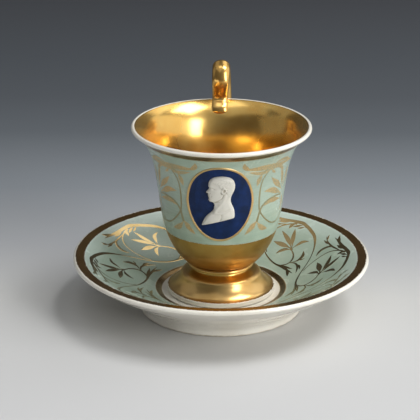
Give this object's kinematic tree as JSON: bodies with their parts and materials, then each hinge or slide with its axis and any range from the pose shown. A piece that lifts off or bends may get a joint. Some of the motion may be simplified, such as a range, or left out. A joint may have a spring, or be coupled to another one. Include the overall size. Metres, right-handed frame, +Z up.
{
  "type": "porcelain cup and saucer",
  "caption": "Bell-shaped porcelain cup on a turned pedestal foot, with a high gilt loop handle and an applied portrait medallion, standing in the well of a deep footed saucer.",
  "frame": {"origin": "on the table, under the saucer's axis", "axes": "+Z up along the axis of saucer and cup, -Y towards the medallion, +Y towards the handle, +X to the right when facing the medallion"},
  "size_m": [0.155, 0.155, 0.1199],
  "materials": {
    "porcelain": "white porcelain under a clear glossy glaze",
    "celadon": "grey-green ground colour under gloss, with burnished gold bands and scrolls",
    "gilding": "burnished gold fired on the glaze, rubbed thin in places",
    "blue_ground": "deep cobalt blue, satin",
    "bisque": "unglazed white bisque, matt"
  },
  "bodies": {
    "saucer": {"saucer": "porcelain"},
    "cup": {"cup_foot": "gilding", "cup_bowl": "celadon", "cup_handle": "gilding", "medallion_plaque": "blue_ground", "portrait_relief": "bisque"}
  },
  "joints": [
    {"name": "cup_lift", "type": "slide", "parent": "saucer", "child": "cup", "axis": [0, 0, 1], "range_m": [0, 0.08]}
  ]
}
